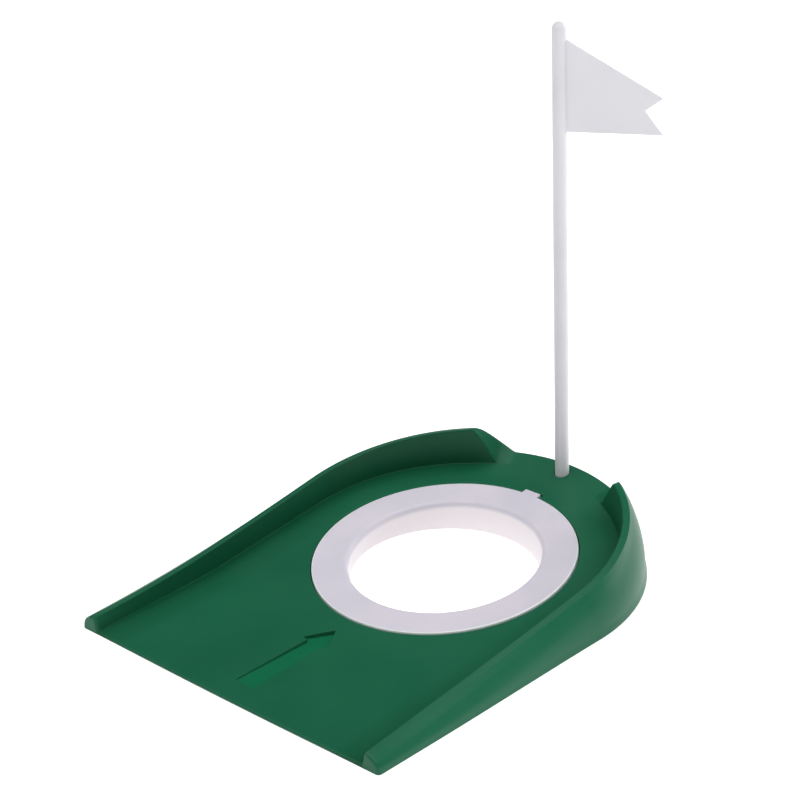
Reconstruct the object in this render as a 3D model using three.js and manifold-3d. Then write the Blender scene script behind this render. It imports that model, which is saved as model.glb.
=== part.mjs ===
// Putting cup for indoor practice: a ramped tray with a hole, a ring that makes the hole
// smaller, and a flagstick with its flag. Millimetres, +Z up. The model is laid out with the
// floor at z = 0 and the centre of the hole above x = 0, y = 0; +Y points to the flagstick.
// At the end the whole group moves so that its origin is the bottom centre of its box.

import * as THREE from "three";
import { mergeVertices } from "three/addons/utils/BufferGeometryUtils.js";
import Module from "manifold-3d";

const wasm = await Module();
wasm.setup();

// ---------------------------------------------------------------- driving dimensions

// Hole and ring
const HOLE_R = 54; // the regulation golf hole, 108 mm across
const RING_R = 58; // the ring's flange covers the hole
const RING_BORE_R = 42.5; // twice a golf ball across
const RING_BORE_DRAFT = 3; // the collar's bore narrows by this much towards the floor
const RING_BORE_ROUND = 2.2;
const FLANGE_T = 2.2;
const FLANGE_PROUD = 0.6; // the flange stands this much above the deck
const COLLAR_T = 1.6;
const COLLAR_LIFT = 0.4; // the collar stops short of the floor
const SPIGOT_R = 53.5; // a short lip under the flange that centres the ring in the hole
const SPIGOT_DEPTH = 2.4;
const SEAT_GAP = 0.3; // between pieces that touch
const SEAT_SIDE_GAP = 0.7;
const TAB_WIDTH = 8.6;
const TAB_LENGTH = 2.6;
const TAB_ANGLE = THREE.MathUtils.degToRad(1.4); // the tab sits a little left of the flagstick
const TAB_ROOT = 3; // the tab and its notch start this far inside the flange's edge
const TAB_DROP = 0.4; // the tab's top lies this far below the flange's
const EDGE_ROUND = 0.8;

// Deck: an almost flat apron, a ramp that holds the hole, and a steeper strip behind it
const FRONT_Y = -132;
const FRONT_BOW = 0.8; // the front edge swells forward by this much in the middle
const APRON_SLOPE = 0.02;
const RAMP_SLOPE = 0.1;
const REAR_SLOPE = 0.24;
const APRON_BEND = { y: -68, half: 8 };
const REAR_BEND = { y: 64, half: 5 };
const DECK_AT_HOLE = 9.4;

// Walls: radii are measured from the hole's centre, or across from the centre line where
// the sides run straight
const FOOT_R = 86.1;
const FOOT_BACK = 1.8; // the foot's round end is centred this far behind the hole
const RIM_OUT_R = 80;
const RIM_IN_R = 76.7;
const WALL_INNER_R = 76.6;
const WALL_DRAFT = 0.15; // the inner face leans back by this share of its height
const FILLET = 0.9;
const FOOT_SPREAD = 0.9; // the foot widens by this much towards the front
const FOOT_SPREAD_RUN = 100; // over this length, from the hole's centre forwards
const FOOT_EDGE = 0.3;
const FLARE_SIDE = 0.1; // from the waist out to the foot, at the sides and at the back
const FLARE_BACK = 2.5;
const RIM_FRONT_SPREAD = 2.4; // the low front of the wall leans outwards
const RIM_FRONT_LIFT = 1.5;
const WALL_MIDDLE_Y = -60; // the walls' front part starts here
const RIM_FRONT = 5.4;
const RIM_RISE = 0.0883;
const RIM_CURVE = 0.000216;
const RIM_CROWN = 0.7;
const RIM_IN_BEVEL = 0.5;
const RIM_OUT_BEVEL = 0.7;
const WAIST_AT = 0.2; // share of the wall's height
const FOOT_AT = 0.04;
const BULGE = 0.8; // below 1 the wall swells out sooner under the rim

// The gap in the wall behind the flagstick
const GAP_X = -0.7;
const GAP_HALF = 29.2;
const GAP_TOP_HALF = 40.3;
const GAP_BASE_Z = 18;
const GAP_TOP_Z = 32;

// Shell
const PLATE = 2;
const VOID_FRONT_Y = -48;
const WALL_VOID_FRONT_Y = -112;
const WALL_VOID_INSIDE = 0.62; // shares of the wall's height that its void reaches
const WALL_VOID_TOP = 0.68;
const WALL_VOID_STEP = 0.6; // the void's least width at its top
const SKIRT_T = 2;
const RIB_T = 1.6;
const RIB_LENGTH = 110;
const RIB_LIFT = 0.8; // ribs and the skirt stop short of the floor
const RIB_ANGLES = [0, 38, 74, 106, 254, 286, 322].map(THREE.MathUtils.degToRad);

// Arrow sunk into the apron
const ARROW_TAIL_Y = -120.6;
const ARROW_NECK_Y = -80;
const ARROW_TIP_Y = -67.4;
const ARROW_TAIL_HALF = 5.3;
const ARROW_NECK_HALF = 4.4;
const ARROW_HEAD_HALF = 7.3;
const ARROW_BARB = 0.8; // the barbs start this far ahead of the neck
const ARROW_FLOOR = 0.95; // height of its level floor

// Flagstick and flag
const STICK_Y = 78;
const STICK_R = 3.15;
const STICK_TOP = 230.8;
const STICK_BOTTOM = 2;
const STICK_TOE = 0.8; // chamfer on the lower end
const SOCKET_R = 3.4;
const SOCKET_FLOOR = 1.7;
const BOSS_R = 5.6;
const FLAG_AZIMUTH = THREE.MathUtils.degToRad(33);
const FLAG_T = 1.2;
const FLAG_HOIST = STICK_R + SEAT_GAP;
const FLAG_TIP = 44;
const FLAG_NOTCH = 36.3;
const FLAG_TOP_Z = 222.8;
const FLAG_UPPER_TIP_Z = 198.4;
const FLAG_NOTCH_Z = 192.7;
const FLAG_BOTTOM_Z = 182;

// Fineness
const ARC_STEPS = 40;
const SIDE_STEPS = 10;
const ROUND = 96;
const ROD_ROUND = 48;
const STICK_ROUND = 32;
const DOME_STEPS = 6;

// How far shapes that only cut or clip reach: below the floor, above every wall, to the sides
const BELOW = -1;
const ABOVE = 60;
const ASIDE = 100;
const PAST = 5;

const GREEN = 0x1f6345;
const WHITE = 0xd9d6de;

// ---------------------------------------------------------------- deck and wall formulas

// The deck's height: three straight slopes joined by two soft bends.
function deckHeight(y) {
  const bend = (at, slope) => {
    const from = at.y - at.half;
    const into = THREE.MathUtils.clamp(y - from, 0, 2 * at.half);
    const beyond = Math.max(0, y - from - 2 * at.half);
    return slope * ((into * into) / (4 * at.half) + beyond);
  };
  const apron = DECK_AT_HOLE + RAMP_SLOPE * APRON_BEND.y + APRON_SLOPE * (y - APRON_BEND.y);
  return apron + bend(APRON_BEND, RAMP_SLOPE - APRON_SLOPE) + bend(REAR_BEND, REAR_SLOPE - RAMP_SLOPE);
}

// Grows from 0 at the middle of the walls to 1 at their low front ends.
function frontShare(y) {
  const share = THREE.MathUtils.clamp((WALL_MIDDLE_Y - y) / (WALL_MIDDLE_Y - FRONT_Y), 0, 1);
  return share * share;
}

function rimHeight(y) {
  const run = y - FRONT_Y;
  return RIM_FRONT + RIM_FRONT_LIFT * frontShare(y) + RIM_RISE * run + RIM_CURVE * run * run;
}

// Radius of the foot's outline in the direction `angle`, measured from +Y.
function footRadius(angle) {
  const side = FOOT_BACK * Math.sin(angle);
  return FOOT_BACK * Math.cos(angle) + Math.sqrt(FOOT_R * FOOT_R - side * side);
}

// The wall's outer face at a share of its height: it bulges out from the rim to a narrow
// waist, then flares into the foot.
function outerRadius(share, rim, station) {
  const { waist, foot } = station;
  const fall = Math.min(1, (1 - share) / (1 - WAIST_AT));
  const bulge = rim + (waist - rim) * Math.sin((fall ** BULGE * Math.PI) / 2);
  const flare = THREE.MathUtils.smoothstep(WAIST_AT - share, 0, WAIST_AT - FOOT_AT);
  return bulge + (foot - waist) * flare;
}

// Stations along the U of the wall: right side, round the back, left side. Each has an
// origin on the centre line, the outward direction, and the radii of the waist and the foot.
function wallStations(frontY) {
  const stations = [];
  const add = (y, angle) => {
    const dir = new THREE.Vector2(Math.sin(angle), Math.cos(angle));
    const foot = footRadius(angle) + FOOT_SPREAD * THREE.MathUtils.smoothstep(-y, 0, FOOT_SPREAD_RUN);
    const waist = foot - FLARE_SIDE - FLARE_BACK * Math.abs(dir.y) ** 3;
    stations.push({ y, dir, foot, waist });
  };
  const sideY = (step) => frontY * (1 - step / SIDE_STEPS);
  for (let i = 0; i < SIDE_STEPS; i++) add(sideY(i), Math.PI / 2);
  for (let i = 0; i <= ARC_STEPS; i++) add(0, Math.PI / 2 - (Math.PI * i) / ARC_STEPS);
  for (let i = SIDE_STEPS - 1; i >= 0; i--) add(sideY(i), -Math.PI / 2);
  return stations;
}

function place(station, r, z) {
  return new THREE.Vector3(station.dir.x * r, station.y + station.dir.y * r, z);
}

// The wall's section at a station, from the floor inside, over the rim, to the foot.
function wallSection(station) {
  const yAt = (r) => station.y + station.dir.y * r;
  const deck = deckHeight(yAt(WALL_INNER_R));
  const spread = RIM_FRONT_SPREAD * frontShare(station.y);
  const rimOut = RIM_OUT_R + spread;
  const rimIn = RIM_IN_R + spread;
  const rim = rimHeight(yAt(RIM_OUT_R));
  const inside = WALL_INNER_R - WALL_DRAFT * Math.max(0, rim - deck - RIM_FRONT) - FILLET;
  const points = [[inside, 0], [inside, deckHeight(yAt(inside)) - FILLET / 4]];
  for (const angle of [-75, -50, -25, 0].map(THREE.MathUtils.degToRad)) {
    points.push([inside + FILLET * Math.cos(angle), deck + FILLET * (1 + Math.sin(angle))]);
  }
  points.push([rimIn, rim + RIM_CROWN - RIM_IN_BEVEL], [rimIn + RIM_IN_BEVEL, rim + RIM_CROWN]);
  points.push([rimOut - RIM_OUT_BEVEL, rim + RIM_CROWN / 2]);
  for (const share of [1, 0.95, 0.86, 0.72, 0.55, 0.38, 0.2, 0.13, 0.08, 0.03]) {
    points.push([outerRadius(share, rimOut, station), share * rim]);
  }
  points.push([station.foot - FOOT_EDGE, 0]);
  return points;
}

// The hollow inside the wall, a plate's thickness in from the section above.
function wallVoidSection(station) {
  const rim = rimHeight(station.y + station.dir.y * RIM_OUT_R);
  const spread = RIM_FRONT_SPREAD * frontShare(station.y);
  const inner = RIM_IN_R + spread + PLATE - WALL_VOID_STEP;
  const outer = (share) => outerRadius(share, RIM_OUT_R + spread, station) - PLATE;
  const shoulder = Math.max(inner + WALL_VOID_STEP, outer(0.72));
  const points = [[inner, BELOW], [inner, WALL_VOID_INSIDE * rim], [shoulder, WALL_VOID_TOP * rim]];
  for (const share of [0.55, 0.38, 0.2, 0.13, 0.08]) points.push([outer(share), share * rim]);
  points.push([station.foot - PLATE, BELOW]);
  return points;
}

// ---------------------------------------------------------------- geometry helpers

function solid(geometry) {
  const bare = geometry.index ? geometry.toNonIndexed() : geometry.clone();
  bare.deleteAttribute("normal");
  bare.deleteAttribute("uv");
  const merged = mergeVertices(bare, 1e-4);
  const mesh = new wasm.Mesh({
    numProp: 3,
    vertProperties: new Float32Array(merged.attributes.position.array),
    triVerts: new Uint32Array(merged.index.array),
  });
  return new wasm.Manifold(mesh);
}

function geometryOf(manifold) {
  const { vertProperties, triVerts } = manifold.getMesh();
  const geometry = new THREE.BufferGeometry();
  geometry.setAttribute("position", new THREE.BufferAttribute(new Float32Array(vertProperties), 3));
  geometry.setIndex(new THREE.BufferAttribute(new Uint32Array(triVerts), 1));
  geometry.computeVertexNormals();
  return geometry;
}

// A closed body through sections with equally many [radius, z] points, one per station.
function loft(stations, sectionAt) {
  const sections = stations.map(sectionAt);
  const count = sections[0].length;
  const positions = sections.flatMap((points, i) =>
    points.flatMap(([r, z]) => place(stations[i], r, z).toArray()),
  );
  const indices = [];
  for (let i = 0; i + 1 < stations.length; i++) {
    for (let j = 0; j < count; j++) {
      const k = (j + 1) % count;
      const a = i * count;
      const b = a + count;
      indices.push(a + j, a + k, b + k, a + j, b + k, b + j);
    }
  }
  const cap = (points) => {
    const flat = points.map((p) => new THREE.Vector2(...p));
    return THREE.ShapeUtils.triangulateShape(flat, []);
  };
  const last = (stations.length - 1) * count;
  for (const [a, b, c] of cap(sections[0])) indices.push(a, b, c);
  for (const [a, b, c] of cap(sections[sections.length - 1])) indices.push(last + c, last + b, last + a);
  const geometry = new THREE.BufferGeometry();
  geometry.setAttribute("position", new THREE.Float32BufferAttribute(positions, 3));
  geometry.setIndex(indices);
  return orient(geometry);
}

// Turns a closed geometry's faces outwards.
function orient(geometry) {
  const position = geometry.attributes.position;
  const index = geometry.index.array;
  const [a, b, c] = [new THREE.Vector3(), new THREE.Vector3(), new THREE.Vector3()];
  let volume = 0;
  for (let i = 0; i < index.length; i += 3) {
    a.fromBufferAttribute(position, index[i]);
    b.fromBufferAttribute(position, index[i + 1]);
    c.fromBufferAttribute(position, index[i + 2]);
    volume += a.dot(b.cross(c));
  }
  if (volume < 0) index.reverse();
  return geometry;
}

// An outline in the XY plane, extruded from z0 to z1.
function upright(shape, z0, z1) {
  const options = { depth: z1 - z0, bevelEnabled: false, curveSegments: ARC_STEPS };
  return new THREE.ExtrudeGeometry(shape, options).translate(0, 0, z0);
}

// An outline of [y, z] points, extruded across X from -half to +half.
function across(points, half) {
  const shape = new THREE.Shape(points.map((p) => new THREE.Vector2(...p)));
  const geometry = new THREE.ExtrudeGeometry(shape, { depth: 2 * half, bevelEnabled: false });
  geometry.translate(0, 0, -half);
  const [x, y, z] = [new THREE.Vector3(1, 0, 0), new THREE.Vector3(0, 1, 0), new THREE.Vector3(0, 0, 1)];
  return geometry.applyMatrix4(new THREE.Matrix4().makeBasis(y, z, x));
}

function cylinder(r, z0, z1, segments = ROUND) {
  const geometry = new THREE.CylinderGeometry(r, r, z1 - z0, segments);
  return geometry.rotateX(Math.PI / 2).translate(0, 0, (z0 + z1) / 2);
}

function tube(rOut, rIn, z0, z1) {
  return solid(cylinder(rOut, z0, z1)).subtract(solid(cylinder(rIn, z0 - 1, z1 + 1)));
}

// A profile of [radius, z] points turned about Z into a closed ring or, from the axis, a rod.
function turned(points, segments = ROUND) {
  const profile = points.map((p) => new THREE.Vector2(...p));
  const geometry = new THREE.LatheGeometry([...profile, profile[0].clone()], segments);
  return geometry.rotateX(Math.PI / 2);
}

// Tilts something built about Z, with the deck's surface at z = 0, onto the ramp.
const ontoRamp = new THREE.Matrix4()
  .makeTranslation(0, 0, DECK_AT_HOLE)
  .multiply(new THREE.Matrix4().makeRotationX(Math.atan(RAMP_SLOPE)));

function onRamp(manifold) {
  return manifold.transform(ontoRamp.toArray());
}

// The U-shaped outline of the tray at radius r, with its bowed front edge.
function outline(r, frontY = FRONT_Y, bow = FRONT_BOW) {
  const shape = new THREE.Shape();
  shape.moveTo(-r, frontY);
  shape.quadraticCurveTo(0, frontY - 2 * bow, r, frontY);
  shape.lineTo(r, 0);
  shape.absarc(0, 0, r, 0, Math.PI, false);
  shape.closePath();
  return shape;
}

// The deck's surface as [y, z] points, lowered by `drop`.
function deckLine(drop, fromY, toY) {
  const bends = [APRON_BEND, REAR_BEND].flatMap(({ y, half }) =>
    [-1, -0.5, 0, 0.5, 1].map((step) => y + step * half),
  );
  const stops = [fromY, ...bends.filter((y) => y > fromY && y < toY), toY];
  return stops.map((y) => [y, deckHeight(y) - drop]);
}

// ---------------------------------------------------------------- tray

// Everything between the floor and the deck's surface, lowered by `drop`.
function underDeck(drop, base, fromY, toY = ASIDE) {
  return across([[fromY, base], [toY, base], ...deckLine(drop, fromY, toY).reverse()], ASIDE);
}

function trayEnvelope() {
  const column = solid(upright(outline(WALL_INNER_R), 0, ABOVE));
  const deck = column.intersect(solid(underDeck(0, 0, FRONT_Y - PAST)));
  const wall = solid(loft(wallStations(FRONT_Y), wallSection));
  return deck.add(wall);
}

// The notch in the wall behind the flagstick, open above the deck, `grow` wider and deeper.
function rearGap(grow = 0) {
  const lean = (GAP_TOP_HALF - GAP_HALF) / (GAP_TOP_Z - GAP_BASE_Z);
  const halfAt = (z) => GAP_HALF + lean * (z - GAP_BASE_Z) + grow * Math.hypot(1, lean);
  const [low, high] = [PAST, ABOVE];
  const shape = new THREE.Shape();
  shape.moveTo(-halfAt(low), low);
  shape.lineTo(halfAt(low), low);
  shape.lineTo(halfAt(high), high);
  shape.lineTo(-halfAt(high), high);
  shape.closePath();
  const wedge = new THREE.ExtrudeGeometry(shape, { depth: ASIDE / 2, bevelEnabled: false });
  wedge.rotateX(Math.PI / 2).translate(GAP_X, ASIDE, 0);
  return solid(wedge).subtract(solid(underDeck(grow, BELOW, 0, ASIDE + PAST)));
}

function ringSeat() {
  const floor = FLANGE_PROUD - FLANGE_T - SEAT_GAP;
  const recess = tube(RING_R + SEAT_SIDE_GAP, HOLE_R + BELOW, floor, ABOVE);
  const width = TAB_WIDTH + 2 * SEAT_SIDE_GAP;
  const length = TAB_LENGTH + SEAT_SIDE_GAP + TAB_ROOT;
  const depth = PAST - floor;
  const notch = new THREE.BoxGeometry(width, length, depth);
  notch.translate(0, RING_R - TAB_ROOT + length / 2, floor + depth / 2).rotateZ(TAB_ANGLE);
  return onRamp(recess.add(solid(notch)));
}

function arrow() {
  const half = [
    [ARROW_TAIL_HALF, ARROW_TAIL_Y],
    [ARROW_NECK_HALF, ARROW_NECK_Y],
    [ARROW_HEAD_HALF, ARROW_NECK_Y + ARROW_BARB],
  ];
  const mirrored = half.map(([x, y]) => [-x, y]).reverse();
  const points = [...half, [0, ARROW_TIP_Y], ...mirrored].map((p) => new THREE.Vector2(...p));
  return solid(upright(new THREE.Shape(points), ARROW_FLOOR, ABOVE));
}

// Ribs fan out from the hole's skirt to the walls.
function ribs() {
  return RIB_ANGLES.map((angle) => {
    const rib = new THREE.BoxGeometry(RIB_T, RIB_LENGTH, ABOVE);
    rib.translate(0, HOLE_R + RIB_LENGTH / 2, RIB_LIFT + ABOVE / 2);
    return solid(rib.rotateZ(-angle));
  });
}

// The hollow under the deck and in the walls, around the ledge, the skirt, the boss and the ribs.
function underside() {
  const column = solid(upright(outline(RIM_IN_R + PLATE, VOID_FRONT_Y, 0), BELOW, ABOVE));
  const deckVoid = column.intersect(solid(underDeck(PLATE, BELOW, VOID_FRONT_Y)));
  const wallVoid = solid(loft(wallStations(WALL_VOID_FRONT_Y), wallVoidSection));
  const ledgeR = RING_R + SEAT_SIDE_GAP + PLATE;
  const ledge = onRamp(tube(ledgeR, HOLE_R + BELOW, FLANGE_PROUD - FLANGE_T - PLATE, ABOVE));
  const skirt = tube(HOLE_R + SKIRT_T, HOLE_R + BELOW, RIB_LIFT, ABOVE);
  const boss = solid(cylinder(BOSS_R, 0, ABOVE, ROD_ROUND).translate(0, STICK_Y, 0));
  const kept = [ledge, skirt, boss, rearGap(PLATE), ...ribs()];
  return kept.reduce((whole, piece) => whole.subtract(piece), deckVoid.add(wallVoid));
}

function tray() {
  const hole = solid(cylinder(HOLE_R, BELOW, ABOVE));
  const socket = solid(cylinder(SOCKET_R, SOCKET_FLOOR, ABOVE, ROD_ROUND).translate(0, STICK_Y, 0));
  const cuts = [underside(), rearGap(), hole, ringSeat(), arrow(), socket];
  return cuts.reduce((whole, cut) => whole.subtract(cut), trayEnvelope());
}

// ---------------------------------------------------------------- ring

function holeRing() {
  const top = FLANGE_PROUD;
  const under = top - FLANGE_T;
  const depth = -2 * DECK_AT_HOLE; // the collar is cut level just above the floor
  const profile = [
    [RING_BORE_R - RING_BORE_DRAFT, depth],
    [RING_BORE_R - RING_BORE_DRAFT + COLLAR_T, depth],
    [RING_BORE_R + COLLAR_T, under],
    [SPIGOT_R - COLLAR_T, under],
    [SPIGOT_R - COLLAR_T, under - SPIGOT_DEPTH],
    [SPIGOT_R, under - SPIGOT_DEPTH],
    [SPIGOT_R, under],
    [RING_R, under],
    [RING_R, top - EDGE_ROUND],
    [RING_R - 0.3 * EDGE_ROUND, top - 0.3 * EDGE_ROUND],
    [RING_R - EDGE_ROUND, top],
  ];
  for (const angle of [0, 22.5, 45, 67.5, 90].map(THREE.MathUtils.degToRad)) {
    profile.push([
      RING_BORE_R + RING_BORE_ROUND * (1 - Math.sin(angle)),
      top - RING_BORE_ROUND * (1 - Math.cos(angle)),
    ]);
  }
  const length = TAB_LENGTH + TAB_ROOT;
  const tab = new THREE.BoxGeometry(TAB_WIDTH, length, FLANGE_T - TAB_DROP);
  tab.translate(0, RING_R - TAB_ROOT + length / 2, top - (FLANGE_T + TAB_DROP) / 2);
  tab.rotateZ(TAB_ANGLE);
  const below = new THREE.BoxGeometry(2 * ASIDE, 2 * ASIDE, ABOVE).translate(0, 0, COLLAR_LIFT - ABOVE / 2);
  return onRamp(solid(turned(profile)).add(solid(tab))).subtract(solid(below));
}

// ---------------------------------------------------------------- flagstick and flag

function flagstick() {
  const points = [
    [0, STICK_BOTTOM],
    [STICK_R - STICK_TOE, STICK_BOTTOM],
    [STICK_R, STICK_BOTTOM + STICK_TOE],
  ];
  for (let i = 0; i <= DOME_STEPS; i++) {
    const angle = ((Math.PI / 2) * i) / DOME_STEPS;
    points.push([STICK_R * Math.cos(angle), STICK_TOP - STICK_R + STICK_R * Math.sin(angle)]);
  }
  points[points.length - 1][0] = 0;
  return turned(points, STICK_ROUND);
}

// A swallow-tailed pennant of plate, standing in the plane through the stick's axis.
function flag() {
  const shape = new THREE.Shape();
  shape.moveTo(FLAG_HOIST, FLAG_BOTTOM_Z);
  shape.lineTo(FLAG_TIP, FLAG_BOTTOM_Z);
  shape.lineTo(FLAG_NOTCH, FLAG_NOTCH_Z);
  shape.lineTo(FLAG_TIP, FLAG_UPPER_TIP_Z);
  shape.lineTo(FLAG_HOIST, FLAG_TOP_Z);
  shape.closePath();
  const geometry = new THREE.ExtrudeGeometry(shape, { depth: FLAG_T, bevelEnabled: false });
  return geometry.translate(0, 0, -FLAG_T / 2).rotateX(Math.PI / 2).rotateZ(FLAG_AZIMUTH);
}

// ---------------------------------------------------------------- assembly

function piece(name, geometry, color, roughness) {
  const mesh = new THREE.Mesh(geometry, new THREE.MeshStandardMaterial({ color, roughness, metalness: 0 }));
  mesh.name = name;
  return mesh;
}

const pennant = new THREE.Group();
pennant.position.y = STICK_Y;
pennant.add(piece("flagstick", flagstick(), WHITE, 0.45), piece("flag", flag(), WHITE, 0.5));

const cup = new THREE.Group();
cup.add(piece("tray", geometryOf(tray()), GREEN, 0.42));
cup.add(piece("hole_ring", geometryOf(holeRing()), WHITE, 0.4));
cup.add(pennant);

const box = new THREE.Box3().setFromObject(cup, true);
const centre = box.getCenter(new THREE.Vector3());
cup.position.set(-centre.x, -centre.y, -box.min.z);

const model = new THREE.Group();
model.add(cup);

export default model;
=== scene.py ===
import math

import bmesh
import bpy
from mathutils import Matrix, Vector
from mathutils.geometry import tessellate_polygon


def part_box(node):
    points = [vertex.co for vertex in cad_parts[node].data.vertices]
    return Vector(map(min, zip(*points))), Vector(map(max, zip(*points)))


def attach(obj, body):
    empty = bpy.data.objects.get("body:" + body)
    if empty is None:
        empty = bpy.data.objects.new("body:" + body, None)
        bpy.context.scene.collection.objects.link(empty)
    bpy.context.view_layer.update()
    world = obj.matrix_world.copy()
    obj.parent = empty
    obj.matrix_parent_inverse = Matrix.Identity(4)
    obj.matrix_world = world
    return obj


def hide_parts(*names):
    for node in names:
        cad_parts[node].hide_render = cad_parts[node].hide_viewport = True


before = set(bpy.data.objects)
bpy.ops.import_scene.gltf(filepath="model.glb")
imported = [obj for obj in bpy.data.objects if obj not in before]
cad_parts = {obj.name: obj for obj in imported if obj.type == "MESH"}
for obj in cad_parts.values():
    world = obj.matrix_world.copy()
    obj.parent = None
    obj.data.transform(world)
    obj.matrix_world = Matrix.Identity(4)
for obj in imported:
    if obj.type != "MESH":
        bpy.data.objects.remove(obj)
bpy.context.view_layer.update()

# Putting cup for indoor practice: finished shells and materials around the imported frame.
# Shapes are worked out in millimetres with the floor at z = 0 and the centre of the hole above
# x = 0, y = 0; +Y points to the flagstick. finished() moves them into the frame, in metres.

# ---------------------------------------------------------------- driving dimensions, mm

MM = 0.001

# Hole, ring and its seat; heights are from the ramp's surface
HOLE_R = 54.0  # the regulation golf hole, 108 mm across
RING_R = 58.0
BORE_R = 42.5  # twice a golf ball across
BORE_DRAFT = 3.0  # the collar's bore narrows by this much towards the floor
BORE_ROUND = 2.2
FLANGE_T = 2.2
FLANGE_PROUD = 0.6
FLANGE_EDGE = 0.85
COLLAR_T = 1.6
COLLAR_DEPTH = 17.4
COLLAR_LIFT = 0.4  # the collar stops short of the floor
SPIGOT_R = 53.5
SPIGOT_DEPTH = 2.4
SEAT_R = 58.5
SEAT_FLOOR = -1.9
SEAT_EDGE = 0.25
SEAT_LIP = 0.35
LEDGE_RISE = 0.3  # the ledge under the seat is this much thinner than a plate
TAB_HALF = 4.3
TAB_REACH = 2.6
TAB_ROOT = 2.0  # the tab starts this far inside the flange's edge
TAB_CORNER = 0.7
TAB_EDGE = 0.4
TAB_LIFT = 0.1  # the tab's underside lies this far above the flange's
TAB_ANGLE = math.radians(1.4)
NOTCH_PLAY = 0.7
NOTCH_ROOT = 3.0
NOTCH_CORNER = 0.8

# Deck
FRONT_Y = -132.0
FRONT_BOW = 0.8  # the front edge swells forward by this much in the middle
BOW_RUN = 100.0
APRON_SLOPE = 0.02
RAMP_SLOPE = 0.1
REAR_SLOPE = 0.24
APRON_BEND = (-68.0, 8.0)  # y of the middle, half the length
REAR_BEND = (64.0, 5.0)
DECK_AT_HOLE = 9.4

# Walls: radii are measured from the hole's centre, or across from the centre line where the
# sides run straight
FOOT_R = 86.1
FOOT_BACK = 1.8  # the foot's round end is centred this far behind the hole
FOOT_SPREAD = 0.9  # the foot widens by this much towards the front
FOOT_SPREAD_RUN = 100.0
FOOT_ROUND = 0.35
FOOT_TOP = 0.8
FOOT_RIM = 4.0
FLARE_SIDE = 0.1  # from the waist out to the foot, at the sides and at the back
FLARE_BACK = 2.5
WALL_INNER_R = 76.8
WALL_DRAFT = 0.15  # the inner face leans back by this share of its height
WALL_MIDDLE_Y = -60.0  # the walls' front part starts here
FILLET = 0.4
RIM_OUT_R = 80.0
RIM_IN_R = 76.7
RIM_FRONT = 5.4
RIM_FRONT_SPREAD = 2.4  # the low front of the wall leans outwards
RIM_FRONT_LIFT = 1.5
RIM_RISE = 0.0883
RIM_CURVE = 0.000216
RIM_CROWN = 0.7
RIM_IN_ROUND = 0.6
RIM_OUT_ROUND = 0.9
WAIST_AT = 0.2  # share of the wall's height
FOOT_AT = 0.04
BULGE = 0.8  # below 1 the wall swells out sooner under the rim

# Gap in the wall behind the flagstick
GAP_X = -0.7
GAP_HALF = 29.2
GAP_TOP_HALF = 40.3
GAP_TURN = 0.45  # the slanted ends are steeper on the inside
GAP_BASE_Z = 18.0
GAP_TOP_Z = 32.0
GAP_ROUND = 2.4
GAP_SHOULDER = 1.8
GAP_FOOT = 1.2

# Hollow underside
PLATE = 2.0
VOID_FRONT_Y = -48.0
WALL_VOID_FRONT_Y = -112.0
WALL_VOID_INSIDE = 0.62  # shares of the wall's height that its void reaches
WALL_VOID_TOP = 0.68
WALL_VOID_STEP = 0.6
WALL_VOID_ROOF = 1.3  # in plates
SKIRT_T = 2.0
RIB_T = 1.6
RIB_LENGTH = 110.0
RIB_LIFT = 0.8  # ribs and the skirt stop short of the floor
RIB_ANGLES = (0, 38, 74, 106, 254, 286, 322)
BOSS_R = 5.6

# Arrow sunk into the apron
ARROW_TAIL_Y = -120.6
ARROW_NECK_Y = -80.0
ARROW_BARB_Y = -79.2
ARROW_TIP_Y = -67.4
ARROW_TAIL_HALF = 5.3
ARROW_NECK_HALF = 4.4
ARROW_HEAD_HALF = 7.3
ARROW_FLOOR = 0.95  # height of its level floor
ARROW_WALL = 0.35
ARROW_CORNER = 0.35
ARROW_LIP = 0.16
ARROW_TOE = (0.14, 0.06)

# Flagstick, its socket and the flag
STICK_Y = 78.0
STICK_R = 3.15
STICK_TOP = 230.8
STICK_BOTTOM = 2.0
STICK_TOE = 0.8
STICK_BELTS = range(10, 226, 12)  # heights of the rod's rings
SOCKET_R = 3.4
SOCKET_FLOOR = 1.7
SOCKET_LIP = 0.3
FLAG_AZIMUTH = math.radians(33)
FLAG_T = 1.2
FLAG_EDGE = 0.3
FLAG_CORNER = 0.5
FLAG_HOIST = 3.55
FLAG_ROOT_T = 2.4  # the strip along the flagstick
FLAG_ROOT = 2.2
FLAG_ROOT_CLEAR = 0.02
FLAG_TIP = 44.0
FLAG_NOTCH = 36.3
FLAG_TOP_Z = 222.8
FLAG_UPPER_TIP_Z = 198.4
FLAG_NOTCH_Z = 192.7
FLAG_BOTTOM_Z = 182.0

# Rounding of the front edge
LIP_DECK = 1.0
LIP_WALL = 0.9
LIP_RIM = 1.3
CORNER_ROUND = 1.6

# Painted shade: the green plastic is darker along the corner between the deck and the walls, where
# shade falls, but not in the gap
SHADE_FOOT_R = 75.2
SHADE_REACH = 16.5  # from there across the deck
SHADE_SHARE = 0.5
SHADE_UP_WALL = 0.5  # share of it that goes on up the walls
SHADE_GAP_Y = (50.0, 60.0)  # it fades out between these towards the gap
SHADE_GAP_EASE = 4.0

# How far shapes that only cut or clip reach
BELOW = -1.0
ABOVE = 60.0
ASIDE = 100.0

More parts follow.
